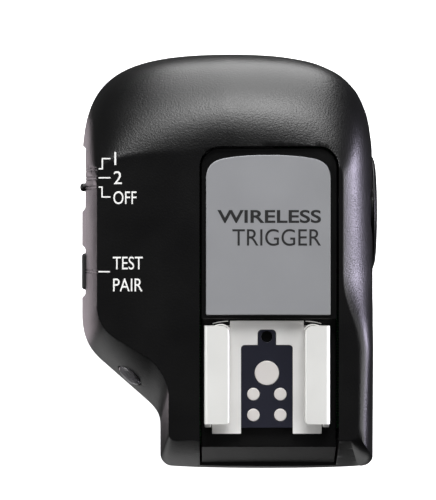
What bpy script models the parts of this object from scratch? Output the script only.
"""Wireless flash trigger: a palm-sized radio unit that stands on a camera's hot shoe
and carries a flash in the shoe on its own top.  Metres, +Z up, +Y towards the nose.
Sizes below are in millimetres and are scaled once, where a shape is made."""

import math

import bmesh
import bpy
from mathutils import Matrix, Vector

MM = 0.001
GAP = 0.3                                   # clearance between touching pieces

# ---- driving dimensions, mm -------------------------------------------------------
FOOT_BOTTOM, FOOT_THICK, FOOT_WIDE, FOOT_LONG = 0.5, 2.0, 18.6, 18.0
LEVER_BOTTOM, LEVER_TOP = 4.2, 6.2
CASE_BOTTOM, PARTING, CASE_TOP = 6.5, 18.0, 32.4
WALL = 1.5
SKIN = 1.3
RAIL_TOP, RAIL_THICK, RAIL_GAP = 33.0, 1.25, 12.6
SHOE_WIDE, SHOE_INSIDE = 21.0, 18.9
SHOE_FRONT, SHOE_REAR = -10.7, -27.1
SHOE = Vector((6.4, -18.7))                 # the shoe's and the foot's common centre
BASE_BOTTOM, BASE_THICK = 28.6, 0.5
CONTACT_BOTTOM, CONTACT_HIGH = 28.5, 1.1
TRAY_TOP, SHELF_TOP = 28.2, 31.2            # the carrier's two levels
LABEL_BOTTOM, LABEL_TOP = 31.5, 32.1
CENTRE_CONTACT_R, DATA_CONTACT_R = 2.03, 1.04
DATA_SPOTS = [(-2.26, -3.55), (2.26, -3.55), (-2.26, -7.05), (2.26, -7.05)]
PIN_HOLE_AHEAD = 6.1
POCKET_LEFT, POCKET_RIGHT, POCKET_FRONT = -4.9, 18.4, 19.3
CELL_R, CELL_THICK = 8.0, 3.2               # 1632 size coin cell
BATTERY = Vector((24.3, 8.3, 17.4))         # middle of the battery door's seat
CUP_R, CUP_BORE, GROOVE_R = 9.5, 8.4, 9.05
PLUG_R, CAP_R = 8.1, 9.7                    # door: plug inside the cup, cap outside
SWITCH = Vector((-24.4, 12.65, 20.5))       # power switch knob at its rest position
SWITCH_TRAVEL = 3.1
DISH_DEPTH, DISH_BOTTOM, DISH_TOP = 0.75, 9.0, 24.5     # finger dishes at both controls
DISH_HALF_SWITCH, DISH_HALF_BUTTON = 6.2, 5.0
KNOB_R = 0.7
BUTTON = Vector((-24.4, -1.7, 20.5))
LENS = Vector((-16.7, -19.2, 22.4))
LENS_AXIS = Vector((-0.62, -0.70, 0.34)).normalized()
LENS_R = 2.25
USB = Vector((6.4, -34.6, 12.4))
BOARD_BOTTOM, BOARD_THICK = 16.0, 1.2
CASE_SCREWS = [(-17.5, 24.0), (13.0, 27.0), (20.2, -31.0), (-7.9, -31.0)]
POST_TOPS = [26.8, 26.6, 23.0, 23.0]        # each post ends inside the top skin or wall
WELL_TOP = 12.0                             # the screw heads lie against this level

# Plan outlines: the widest line, at the parting, and the edge of the flat top.
WIDEST = dict(right=24.3, right_rear=24.3, left=-25.1, nose=35.5, rear=-35.1, step=-11.7,
              corner=2.1, shoulder=16.0, hip=-9.0, flank_a=(-21.0, -17.6), flank_b=(-14.5, -23.3),
              step_top=-28.0, bow=0.5)
TOP_EDGE = dict(right=18.9, right_rear=21.4, left=-22.0, nose=18.0, rear=-29.8, step=-10.05,
                corner=1.2, shoulder=14.0, hip=-7.0, flank_a=(-18.5, -13.0), flank_b=(-13.5, -16.0),
                step_top=-22.0, bow=0.0)
FLANK_NORMAL = (0.66, 0.75)
FLARED = (0.2, 0.0)                         # a wall's roundness and its upright share
PROFILE_STEPS = 6


# ---- helpers ----------------------------------------------------------------------
def clear_scene():
    for obj in list(bpy.data.objects):
        bpy.data.objects.remove(obj)


def new_collection(name):
    collection = bpy.data.collections.new(name)
    bpy.context.scene.collection.children.link(collection)
    return collection


def material(name, color, rough, metal=0.0):
    made = bpy.data.materials.get(name)
    if made is None:
        made = bpy.data.materials.new(name)
        made.use_nodes = True
        shader = made.node_tree.nodes["Principled BSDF"]
        shader.inputs["Base Color"].default_value = (*color, 1.0)
        shader.inputs["Roughness"].default_value = rough
        shader.inputs["Metallic"].default_value = metal
    return made


def finish_object(name, bm, finish=None, place=None):
    """Turns a bmesh in millimetres into an object in metres."""
    if place is not None:
        bm.transform(place)
    bm.transform(Matrix.Scale(MM, 4))
    bmesh.ops.recalc_face_normals(bm, faces=bm.faces)
    mesh = bpy.data.meshes.new(name)
    bm.to_mesh(mesh)
    bm.free()
    obj = bpy.data.objects.new(name, mesh)
    if finish is None:
        obj.hide_render = True
        obj.display_type = 'WIRE'
        CUTTERS.objects.link(obj)
    else:
        mesh.materials.append(material(*finish))
        PARTS.objects.link(obj)
    return obj


def box(name, low, high, finish=None, bevel=0.0, vertical_only=False):
    bm = bmesh.new()
    bmesh.ops.create_cube(bm, size=1.0)
    size = [b - a for a, b in zip(low, high)]
    middle = [(a + b) / 2 for a, b in zip(low, high)]
    bm.transform(Matrix.Translation(middle) @ Matrix.Diagonal((*size, 1.0)))
    if bevel:
        edges = [e for e in bm.edges if not vertical_only
                 or abs(e.verts[0].co.z - e.verts[1].co.z) > size[2] / 2]
        bmesh.ops.bevel(bm, geom=edges, offset=bevel, segments=2, profile=0.5,
                        affect='EDGES')
    return finish_object(name, bm, finish)


def towards(axis):
    return Vector((0, 0, 1)).rotation_difference(Vector(axis)).to_matrix().to_4x4()


def drum(name, start, axis, length, radius, finish=None, tip=None, sides=24):
    """A cylinder, or a cone with its own tip radius, from start along axis."""
    bm = bmesh.new()
    bmesh.ops.create_cone(bm, cap_ends=True, segments=sides, radius1=radius,
                          radius2=radius if tip is None else tip, depth=length)
    middle = Vector(start) + Vector(axis).normalized() * (length / 2)
    return finish_object(name, bm, finish, Matrix.Translation(middle) @ towards(axis))


def turned(name, start, axis, profile, finish, sides=32):
    """A turned piece: profile is (radius, height) pairs from the axis back to it."""
    bm = bmesh.new()
    rings = []
    for radius, height in profile:
        count = 1 if radius == 0 else sides
        rings.append([bm.verts.new((radius * math.cos(math.tau * i / sides),
                                    radius * math.sin(math.tau * i / sides), height))
                      for i in range(count)])
    closed = rings if profile[0][0] == 0 else rings + rings[:1]
    for low, high in zip(closed, closed[1:]):
        for i in range(sides):
            j = (i + 1) % sides
            corners = [low[i % len(low)], low[j % len(low)],
                       high[j % len(high)], high[i % len(high)]]
            bm.faces.new(list(dict.fromkeys(corners)))
    return finish_object(name, bm, finish, Matrix.Translation(start) @ towards(axis))


def prism(name, outline, low, high, finish=None, place=None):
    """A flat outline extruded along Z from low to high."""
    bm = bmesh.new()
    face = bm.faces.new([bm.verts.new((x, y, low)) for x, y in outline])
    out = bmesh.ops.extrude_face_region(bm, geom=[face])
    lifted = [v for v in out["geom"] if isinstance(v, bmesh.types.BMVert)]
    bmesh.ops.translate(bm, verts=lifted, vec=(0, 0, high - low))
    return finish_object(name, bm, finish, place)


def combine(obj, other, operation='DIFFERENCE'):
    modifier = obj.modifiers.new(other.name, 'BOOLEAN')
    modifier.operation = operation
    modifier.object = other
    modifier.solver = 'EXACT'


def bezier(a, b, c, d, steps):
    """Points of one curved stretch, without its last point."""
    points = []
    for i in range(steps):
        t = i / steps
        u = 1 - t
        points.append(tuple(u**3 * p + 3 * u * u * t * q + 3 * u * t * t * r + t**3 * s
                            for p, q, r, s in zip(a, b, c, d)))
    return points


def straight(a, b, steps):
    return [tuple(p + (q - p) * i / steps for p, q in zip(a, b)) for i in range(steps)]


# ---- the body's form --------------------------------------------------------------
def plan(right, right_rear, left, nose, rear, step, corner, shoulder, hip, flank_a, flank_b,
         step_top, bow):
    """Plan outline, each point with the shape of the wall above it."""
    rise = (nose - shoulder) * 0.74
    reach = 0.825
    low = rear + corner
    half_flank = ((flank_b[0] - flank_a[0]) * 0.3, (flank_b[1] - flank_a[1]) * 0.3)
    hip_drop = (hip - flank_a[1]) * 0.6
    runs = [
        (straight((right_rear, low), (right_rear, -15), 2), (1.0, 0.6), (1.0, 0.75)),
        (bezier((right_rear, -15), (right_rear, -9), (right, -8), (right, -2), 3),
         (1.0, 0.75), (0.3, 0.6)),
        (straight((right, -2), (right, shoulder), 3), (0.3, 0.6), (0.4, 0.55)),
        (bezier((right, shoulder), (right, shoulder + rise), (right * reach, nose),
                (0, nose), 9), (0.4, 0.55), (1.0, 0.0)),
        (bezier((0, nose), (left * reach, nose), (left, shoulder + rise),
                (left, shoulder), 9), (1.0, 0.0), FLARED),
        (straight((left, shoulder), (left, hip), 4), FLARED, FLARED),
        (bezier((left, hip), (left, hip - hip_drop),
                (flank_a[0] - half_flank[0], flank_a[1] - half_flank[1]), flank_a, 5),
         FLARED, FLARED),
        (straight(flank_a, flank_b, 2), FLARED, FLARED),
        (bezier(flank_b, (flank_b[0] + half_flank[0], flank_b[1] + half_flank[1]),
                (step, step_top + 2.0), (step, step_top), 4), FLARED, FLARED),
        (straight((step, step_top), (step, low), 2), FLARED, FLARED),
        (bezier((step, low), (step, low - corner * 0.55),
                (step + corner * 0.45, rear), (step + corner, rear), 3), FLARED, FLARED),
        (bezier((step + corner, rear), (step + 9, rear - bow),
                (right_rear - 9, rear - bow),
                (right_rear - corner, rear), 6), FLARED, FLARED),
        (bezier((right_rear - corner, rear), (right_rear - corner * 0.45, rear),
                (right_rear, low - corner * 0.55), (right_rear, low), 3),
         FLARED, (1.0, 0.6)),
    ]
    points = []
    for run, first, last in runs:
        for i, point in enumerate(run):
            shape = tuple(a + (b - a) * i / len(run) for a, b in zip(first, last))
            points.append((point, shape))
    return points


def inset(edges, by):
    """The same outline with every wall moved inwards."""
    moved = dict(edges)
    moved["right"] -= by
    moved["right_rear"] -= by
    moved["left"] += by
    moved["nose"] -= by
    moved["rear"] += by
    moved["step"] += by
    for key in ("flank_a", "flank_b"):
        moved[key] = tuple(p + by * n for p, n in zip(edges[key], FLANK_NORMAL))
    return moved


def loft(name, rings, finish=None):
    """A closed solid through rings of equal length, each a list of points."""
    bm = bmesh.new()
    made = [[bm.verts.new(p) for p in ring] for ring in rings]
    for low, high in zip(made, made[1:]):
        for i in range(len(low)):
            j = (i + 1) % len(low)
            bm.faces.new((low[i], low[j], high[j], high[i]))
    bm.faces.new(list(reversed(made[0])))
    bm.faces.new(made[-1])
    bmesh.ops.triangulate(bm, faces=bm.faces[:])        # flat faces cut cleanly
    return finish_object(name, bm, finish)


def dome_rings(widest, top, low, base, high, steps=PROFILE_STEPS):
    """Rings from base up to the flat top.  Each wall first stands upright for its own
    share of the height, then slopes, flat or rounded, to the edge of the top."""
    outer, inner = plan(**widest), plan(**top)
    rings = []
    if low < base:
        rings.append([(*p, low) for p, _ in outer])
    for k in range(steps + 1):
        rings.append([wall_point(p, q, shape, k / steps, base, high)
                      for (p, shape), (q, _) in zip(outer, inner)])
    return rings


def wall_point(p, q, shape, share, base, high):
    """A point share of the way from p, on the widest line, to q, on the top's edge."""
    round_, upright = shape
    foot = upright / 2
    if share < foot:
        return (*p, base + (high - base) * upright * share / foot)
    even = (share - foot) / (1 - foot)
    angle = math.pi / 2 * even
    across = (1 - round_) * even + round_ * (1 - math.cos(angle))
    up = upright + (1 - upright) * ((1 - round_) * even + round_ * math.sin(angle))
    return (p[0] + (q[0] - p[0]) * across, p[1] + (q[1] - p[1]) * across,
            base + (high - base) * up)


# ---- finishes: name, colour, roughness, metallic ----------------------------------
ABS = ("black_abs", (0.02, 0.02, 0.024), 0.45)
SOFT = ("black_rubber", (0.025, 0.025, 0.027), 0.8)
STEEL = ("stainless_steel", (0.78, 0.78, 0.76), 0.3, 1.0)
GOLD = ("gold_plate", (0.85, 0.66, 0.3), 0.25, 1.0)
PLATE = ("silver_label", (0.62, 0.63, 0.65), 0.4, 0.6)
NYLON = ("contact_block", (0.03, 0.03, 0.05), 0.5)
CLEAR = ("clear_lens", (0.75, 0.75, 0.8), 0.1)
BOARD = ("circuit_board", (0.02, 0.14, 0.06), 0.5)
CHIP = ("chip_epoxy", (0.03, 0.03, 0.03), 0.5)
TIN = ("tinned_steel", (0.7, 0.7, 0.7), 0.35, 1.0)
ZINC = ("black_zinc_screw", (0.05, 0.05, 0.05), 0.35, 1.0)
FLEX = ("flex_cable", (0.5, 0.25, 0.05), 0.5)


# ---- case -------------------------------------------------------------------------
def bosses(into, spots, low, high, radius):
    for i, (x, y) in enumerate(spots):
        post = drum(f"{into.name}_post_{i}", (x, y, low), (0, 0, 1), high - low, radius,
                    sides=12)
        combine(into, post, 'UNION')


def drill(into, label, x, y, low, high, radius, sides=12):
    combine(into, drum(f"{into.name}_{label}", (x, y, low), (0, 0, 1), high - low,
                       radius, sides=sides))


def make_top_case():
    case = loft("top_case", dome_rings(WIDEST, TOP_EDGE, PARTING, PARTING, CASE_TOP), ABS)
    hollow = loft("top_hollow", dome_rings(inset(WIDEST, WALL), inset(TOP_EDGE, 1.35),
                                           PARTING - 2, PARTING, CASE_TOP - SKIN))
    combine(case, hollow)
    for i, (x, y) in enumerate(CASE_SCREWS):
        post = drum(f"top_post_{i}", (x, y, PARTING + 0.2), (0, 0, 1),
                    POST_TOPS[i] - PARTING, 2.0, sides=12)
        combine(case, post, 'UNION')
        drill(case, f"pilot_{i}", x, y, PARTING - 1, PARTING + 5.5, 0.95)
    pocket = prism("pocket", rounded_front(POCKET_LEFT, POCKET_RIGHT, POCKET_FRONT,
                                           -45.0, 3.4), 26.0, 36.0)
    combine(case, pocket)
    combine(case, box("rear_gate", (POCKET_LEFT, -45, 19.6), (POCKET_RIGHT, -27.9, 30)))
    cut_shared(case)
    cut_controls(case)


def rounded_front(left, right, front, rear, radius):
    """A rectangle in plan with its two front corners rounded."""
    k = radius * 0.45
    return ([(left, rear), (right, rear)]
            + bezier((right, front - radius), (right, front - k), (right - k, front),
                     (right - radius, front), 4)
            + [(right - radius, front)]
            + bezier((left + radius, front), (left + k, front), (left, front - k),
                     (left, front - radius), 4)
            + [(left, front - radius)])


def cut_shared(case):
    """What both shells are cut for: the battery cup and the two finger dishes."""
    combine(case, drum(f"{case.name}_cup_hole", (17.8, BATTERY.y, BATTERY.z), (1, 0, 0),
                       14, CUP_R + 0.25, sides=32))
    floor = WIDEST["left"] + DISH_DEPTH
    for label, middle, half in (("switch", SWITCH.y + SWITCH_TRAVEL / 2, DISH_HALF_SWITCH),
                                ("button", BUTTON.y, DISH_HALF_BUTTON)):
        outline = [(-30, middle - half), (floor - 0.7, middle - half),
                   (floor, middle - half + 1.0), (floor, middle + half - 1.0),
                   (floor - 0.7, middle + half), (-30, middle + half)]
        combine(case, prism(f"{case.name}_{label}_dish", outline, DISH_BOTTOM, DISH_TOP))


def cut_controls(case):
    """Openings of the top case alone: switch, button and status light."""
    combine(case, box("switch_slot", (-30, SWITCH.y - 1.0, SWITCH.z - 1.3),
                      (-20, SWITCH.y + SWITCH_TRAVEL + 1.0, SWITCH.z + 1.3)))
    combine(case, box("button_hole", (-30, BUTTON.y - 3.4, BUTTON.z - 1.7),
                      (-20, BUTTON.y + 3.4, BUTTON.z + 1.7)))
    combine(case, drum("lens_hole", LENS - LENS_AXIS * 4, LENS_AXIS, 10, LENS_R + 0.25,
                       sides=24))


def make_bottom_case():
    lower, edge = inset(WIDEST, 0.9), inset(WIDEST, 2.6)
    outer = [[(*p, CASE_BOTTOM) for p, _ in plan(**edge)],
             [(*p, CASE_BOTTOM + 0.7) for p, _ in plan(**inset(WIDEST, 1.5))],
             [(*p, CASE_BOTTOM + 2.4) for p, _ in plan(**lower)],
             [(*p, PARTING - 0.2) for p, _ in plan(**WIDEST)]]
    case = loft("bottom_case", outer, ABS)
    inner = [[(*p, CASE_BOTTOM + SKIN) for p, _ in plan(**inset(WIDEST, 3.2))],
             [(*p, CASE_BOTTOM + 3.4) for p, _ in plan(**inset(WIDEST, WALL + 0.9))],
             [(*p, PARTING - 0.2) for p, _ in plan(**inset(WIDEST, WALL))],
             [(*p, PARTING + 2) for p, _ in plan(**inset(WIDEST, WALL))]]
    combine(case, loft("bottom_hollow", inner))
    bosses(case, CASE_SCREWS, CASE_BOTTOM + 0.5, PARTING - 0.2, 2.5)
    for i, (x, y) in enumerate(CASE_SCREWS):
        drill(case, f"clear_{i}", x, y, 0, PARTING + 1, 1.3)
        drill(case, f"sink_{i}", x, y, 0, WELL_TOP, 1.9)
    cut_shared(case)
    combine(case, box("usb_seat", (USB.x - 5.6, -40, USB.z - 3.3),
                      (USB.x + 5.6, USB.y + 1.1, USB.z + 3.3)))
    combine(case, box("usb_way", (USB.x - 4.2, -40, USB.z - 2.4),
                      (USB.x + 4.2, -30, USB.z + 2.4)))


def make_carrier():
    """Insert that forms the sunk channel, the shoe's floor and the rear panel."""
    front = POCKET_FRONT - GAP
    side = [(front, SHELF_TOP), (front, SHELF_TOP - 1.2), (-8.2, SHELF_TOP - 1.2), (-8.2, 27.2),
            (-29.6, 27.2), (-32.9, 20.0), (-34.4, 20.0), (-31.15, TRAY_TOP), (-9.6, TRAY_TOP),
            (-9.6, SHELF_TOP)]
    place = Matrix(((0, 0, 1, 0), (1, 0, 0, 0), (0, 1, 0, 0), (0, 0, 0, 1)))
    left, right = POCKET_LEFT + GAP, POCKET_RIGHT - GAP
    carrier = prism("shoe_carrier", side, left, right, ABS, place)
    keep = prism("carrier_outline", rounded_front(left, right, front, -45, 3.1), 0, 60)
    combine(carrier, keep, 'INTERSECT')
    for i, (dx, dy) in enumerate(SHOE_SCREW_SPOTS):
        drill(carrier, f"thread_{i}", SHOE.x + dx, SHOE.y + dy, 20, 32, 0.85)
    combine(carrier, box("flex_slot", (SHOE.x - FLEX_HALF - 0.4, FLEX_Y - 0.25, 20),
                         (SHOE.x + FLEX_HALF + 0.4, FLEX_Y + 0.55, 35)))


def make_label():
    prism("label_plate", rounded_front(-3.8, 17.0, 17.8, -8.9, 2.9), LABEL_BOTTOM, LABEL_TOP,
          PLATE)


# ---- hot shoe ---------------------------------------------------------------------
SHOE_SCREW_SPOTS = [(x, y) for x in (-7.0, 7.0) for y in (5.2, -5.4)]
FLEX_Y, FLEX_THICK, FLEX_HALF = -15.55, 0.3, 3.5


def make_shoe():
    half, inner, lip = SHOE_WIDE / 2, SHOE_INSIDE / 2, RAIL_GAP / 2
    low, floor = BASE_BOTTOM, BASE_BOTTOM + BASE_THICK
    under = RAIL_TOP - RAIL_THICK
    right = [(half, low), (half, RAIL_TOP), (lip, RAIL_TOP), (lip, under),
             (inner, under), (inner, floor)]
    section = right + [(-x, z) for x, z in reversed(right)]
    along_y = Matrix(((1, 0, 0, SHOE.x), (0, 0, -1, 0), (0, 1, 0, 0), (0, 0, 0, 1)))
    frame = prism("shoe_frame", section, -SHOE_FRONT, -SHOE_REAR, STEEL, along_y)
    combine(frame, box("frame_window", (SHOE.x - 4.5, SHOE_REAR - 2, 20),
                       (SHOE.x + 4.5, -14.0, 30)))
    combine(frame, box("frame_notch", (SHOE.x - 1.9, -20, 20), (SHOE.x + 1.9, -11.2, 30)))
    for i, (dx, dy) in enumerate(SHOE_SCREW_SPOTS):
        drill(frame, f"screw_{i}", SHOE.x + dx, SHOE.y + dy, 20, 30, 1.5)
        head = drum(f"shoe_screw_{i + 1}", (SHOE.x + dx, SHOE.y + dy, 28.5), (0, 0, 1),
                    0.5, 1.3, ZINC, sides=12)
        shank = drum(f"shoe_shank_{i}", (SHOE.x + dx, SHOE.y + dy, 24.0), (0, 0, 1), 4.7,
                     0.65, sides=12)
        combine(head, shank, 'UNION')

    top = floor + 0.5
    u_shape = [(9.2, -9.9), (-9.2, -9.9), (-9.2, -28.9), (-4.35, -28.9), (-4.35, -14.1),
               (-1.7, -14.1), (-1.7, -11.4), (1.7, -11.4), (1.7, -14.1), (4.35, -14.1),
               (4.35, -28.9), (9.2, -28.9)]
    prism("shoe_spring_plate", [(x + SHOE.x, y) for x, y in u_shape], floor + 0.2, top, STEEL)

    block = [(4.1, -14.35), (1.45, -14.35), (1.45, -11.7), (-1.45, -11.7), (-1.45, -14.35),
             (-4.1, -14.35), (-4.1, -27.9), (4.1, -27.9)]
    insulator = prism("contact_block", [(x + SHOE.x, y) for x, y in block], CONTACT_BOTTOM,
                      top - 0.1, NYLON)
    drill(insulator, "lock_hole", SHOE.x, SHOE.y + PIN_HOLE_AHEAD, 20, 35, 0.95, 16)
    drill(insulator, "centre", SHOE.x, SHOE.y, 20, 35, CENTRE_CONTACT_R + 0.12, 24)
    shoe_contact("centre_contact", SHOE.x, SHOE.y, CENTRE_CONTACT_R)
    for i, (dx, dy) in enumerate(DATA_SPOTS):
        x, y = SHOE.x + dx, SHOE.y + dy
        drill(insulator, f"data_{i}", x, y, 20, 35, DATA_CONTACT_R + 0.12, 16)
        shoe_contact(f"data_contact_{i + 1}", x, y, DATA_CONTACT_R)
    combine(insulator, box("block_flex_slot", (SHOE.x - FLEX_HALF - 0.4, FLEX_Y - 0.25, 20),
                           (SHOE.x + FLEX_HALF + 0.4, FLEX_Y + 0.55, 28.9)))
    box("contact_flex", (SHOE.x - FLEX_HALF, FLEX_Y, BOARD_BOTTOM + BOARD_THICK + 0.2),
        (SHOE.x + FLEX_HALF, FLEX_Y + FLEX_THICK, 28.6), FLEX)


def shoe_contact(name, x, y, radius):
    """A flat-topped round contact with a small chamfer."""
    turned(name, (x, y, CONTACT_BOTTOM), (0, 0, 1),
           [(0, 0), (radius, 0), (radius, CONTACT_HIGH - 0.1), (radius - 0.1, CONTACT_HIGH),
            (0, CONTACT_HIGH)], STEEL, 20)


# ---- foot -------------------------------------------------------------------------
def make_foot():
    x, y = SHOE
    top = FOOT_BOTTOM + FOOT_THICK
    plate = box("foot_plate", (x - FOOT_WIDE / 2, y - FOOT_LONG / 2, FOOT_BOTTOM),
                (x + FOOT_WIDE / 2, y + FOOT_LONG / 2, top), STEEL, 0.5, True)
    window = [(dx + x, dy + y) for dx, dy in
              ((-3.8, -8.4), (3.8, -8.4), (3.8, 3.2), (2.0, 3.2), (2.0, 7.6), (-2.0, 7.6),
               (-2.0, 3.2), (-3.8, 3.2))]
    combine(plate, prism("foot_window", window, -1, 4))
    neck_gap = 0.2
    block = drum("foot_block", (x, y, top + neck_gap), (0, 0, 1),
                 CASE_BOTTOM - top - 2 * neck_gap, 6.1, NYLON, sides=32)
    insert = [(dx + x, dy + y) for dx, dy in
              ((-3.5, -8.1), (3.5, -8.1), (3.5, 2.9), (1.7, 2.9), (1.7, 7.3), (-1.7, 7.3),
               (-1.7, 2.9), (-3.5, 2.9))]
    combine(block, prism("foot_insert", insert, FOOT_BOTTOM + 0.15, top + 0.7), 'UNION')

    def sprung_pin(name, px, py, radius, length):
        drill(block, f"{name}_bore", px, py, -1, 8, radius + 0.2, 16)
        turned(name, (px, py, 0), (0, 0, 1),
               [(0, 0), (radius * 0.7, 0), (radius, 0.25), (radius, length), (0, length)],
               GOLD, 16)

    sprung_pin("foot_centre_pin", x, y, 1.1, 4.6)
    for i, (dx, dy) in enumerate(DATA_SPOTS):
        sprung_pin(f"foot_data_pin_{i + 1}", x + dx, y + dy, 0.6, 3.3)
    drill(block, "lock_bore", x, y + PIN_HOLE_AHEAD, -1, 8, 1.1, 16)
    turned("lock_pin", (x, y + PIN_HOLE_AHEAD, 0.7), (0, 0, 1),
           [(0, 0), (0.6, 0), (0.85, 0.3), (0.85, 3.2), (0, 3.2)], STEEL, 16)


def make_lever():
    """Lock ring round the foot's neck, with a thumb lever to the rear."""
    x, y = SHOE
    ring = turned("lock_lever", (x, y, LEVER_BOTTOM), (0, 0, 1),
                  [(6.5, 0), (10.0, 0), (10.3, 0.3), (10.3, 1.7), (10.0, 2.0), (6.5, 2.0)],
                  ABS, 36)
    arm = [(x + 2.8, y - 9.4), (x + 8.0, y - 13.4), (x + 6.2, y - 15.0), (x - 1.4, y - 15.0),
           (x - 3.2, y - 9.4)]
    combine(ring, prism("lever_arm", arm, LEVER_BOTTOM, LEVER_TOP), 'UNION')


# ---- controls ---------------------------------------------------------------------
SWITCH_BASE = BOARD_BOTTOM + BOARD_THICK + GAP      # both switches stand on the board


def make_switch():
    knob = drum("power_switch_knob", (SWITCH.x - 0.95, SWITCH.y, SWITCH.z), (1, 0, 0), 3.4,
                KNOB_R, ABS, sides=16)
    combine(knob, box("knob_foot", (-22.6, SWITCH.y - 0.8, SWITCH.z - 0.9),
                      (-21.9, SWITCH.y + 0.8, SWITCH.z + 0.9)), 'UNION')
    box("slide_switch", (-21.6, SWITCH.y - 3.0, SWITCH_BASE),
        (-18.4, SWITCH.y + SWITCH_TRAVEL + 3.0, 22.4), TIN, 0.2)


def make_button():
    box("test_button", (-25.0, BUTTON.y - 3.1, BUTTON.z - 1.4),
        (-22.4, BUTTON.y + 3.1, BUTTON.z + 1.4), SOFT, 0.45)
    body = box("tact_switch", (-21.2, BUTTON.y - 1.8, SWITCH_BASE),
               (-18.6, BUTTON.y + 1.8, 22.6), TIN)
    combine(body, drum("tact_stem", (-21.7, BUTTON.y, BUTTON.z), (1, 0, 0), 1.0, 0.8, sides=12),
            'UNION')


def make_status_light():
    turned("status_lens", LENS - LENS_AXIS * 2.2, LENS_AXIS,
           [(0, 0), (LENS_R, 0), (LENS_R, 2.4), (LENS_R * 0.9, 2.85), (LENS_R * 0.6, 3.15),
            (0, 3.3)], CLEAR, 24)
    led = LENS - LENS_AXIS * 4.8
    drum("status_led", led, LENS_AXIS, 2.2, 1.5, CLEAR, sides=16)


# ---- battery ----------------------------------------------------------------------
def make_battery():
    y, z = BATTERY.y, BATTERY.z
    back, mouth = 18.3, 24.0
    lip, groove = mouth - back, 4.75
    cup = turned("battery_cup", (back, y, z), (1, 0, 0),
                 [(0, 0), (CUP_R, 0), (CUP_R, lip), (CUP_BORE, lip), (CUP_BORE, 5.35),
                  (GROOVE_R, 5.35), (GROOVE_R, groove), (CUP_BORE, groove),
                  (CUP_BORE, 0.8), (0, 0.8)], NYLON, 32)
    combine(cup, box("cup_wire_slot", (17, y - 10, z - 1.2), (19.6, y - 7.5, z + 1.2)))
    turned("battery_spring", (19.25, y, z), (1, 0, 0),
           [(0, 0), (3.5, 0), (3.5, 0.2), (2.2, 0.45), (0, 0.45)], STEEL, 20)
    turned("coin_cell", (19.85, y, z), (1, 0, 0),
           [(0, 0), (6.9, 0), (7.0, 0.3), (CELL_R, 0.6), (CELL_R, CELL_THICK - 0.1),
            (CELL_R - 0.2, CELL_THICK), (0, CELL_THICK)], STEEL, 32)
    door = turned("battery_door", (23.2, y, z), (1, 0, 0),
                  [(0, 0), (PLUG_R, 0), (PLUG_R, 1.25), (CAP_R, 1.25), (CAP_R, 1.45),
                   (CAP_R - 0.7, 1.75), (5.0, 2.1), (0, 2.15)], ABS, 32)
    for i in range(3):
        lug = box(f"door_lug_{i}", (-1.3, 7.4, 0.03), (1.3, 8.85, 0.3))
        lug.data.transform(Matrix.Rotation(math.tau * i / 3, 4, 'Z'))
        lug.data.transform(Matrix.Translation(Vector((23.2, y, z)) * MM)
                           @ towards((1, 0, 0)))
        combine(door, lug, 'UNION')
    combine(door, box("coin_slot", (24.55, y - 5.5, z - 0.8), (27, y + 5.5, z + 0.8)))


# ---- inside -----------------------------------------------------------------------
def make_board():
    """The board, what stands on it, and the port with its cover."""
    low, high = BOARD_BOTTOM, BOARD_BOTTOM + BOARD_THICK
    board = prism("main_board", [p for p, _ in plan(**inset(WIDEST, 3.6))], low, high, BOARD)
    combine(board, box("board_cup_gap", (17.9, BATTERY.y - 10.5, 10),
                       (30, BATTERY.y + 10.5, 20)))
    for i, (x, y) in enumerate(CASE_SCREWS):
        drill(board, f"hole_{i}", x, y, 10, 20, 2.8)
    box("radio_shield", (-6, 18, high + 0.2), (8, 30, high + 3.2), TIN, 0.3)
    box("processor", (-15, -6, high + 0.2), (-7, 2, high + 1.3), CHIP)
    box("power_inductor", (6, 4, high + 0.2), (12, 10, high + 3.4), CHIP, 0.4)
    wide, tall, sheet = 3.85, 1.95, 0.45
    socket = box("usb_socket", (USB.x - wide, -33.2, USB.z - tall),
                 (USB.x + wide, -24.4, USB.z + tall), TIN, 0.3)
    combine(socket, box("socket_mouth", (USB.x - wide + sheet, -40, USB.z - tall + sheet),
                        (USB.x + wide - sheet, -26, USB.z + tall - sheet)))
    box("usb_cover", (USB.x - 5.3, USB.y - 0.3, USB.z - 3.0),
        (USB.x + 5.3, USB.y + 0.8, USB.z + 3.0), SOFT, 0.25)
    prism("antenna", [(-12, 20), (-10.6, 20), (-10.6, 27.5), (10, 27.5), (10, 29), (-12, 29)],
          high + 3.6, high + 4.0, TIN)


def make_case_screws():
    for i, (x, y) in enumerate(CASE_SCREWS):
        screw = drum(f"case_screw_{i + 1}", (x, y, WELL_TOP - 1.4), (0, 0, 1), 1.2, 1.6, ZINC,
                     sides=14)
        combine(screw, drum(f"case_shank_{i}", (x, y, WELL_TOP - 0.4), (0, 0, 1), 11.0, 0.8,
                            sides=12), 'UNION')


clear_scene()
PARTS = new_collection("wireless_flash_trigger")
CUTTERS = new_collection("cutters")
make_top_case()
make_bottom_case()
make_carrier()
make_label()
make_shoe()
make_foot()
make_lever()
make_switch()
make_button()
make_status_light()
make_battery()
make_board()
make_case_screws()
for piece in PARTS.objects:
    piece.data.shade_smooth()
    piece.data.set_sharp_from_angle(angle=math.radians(35))
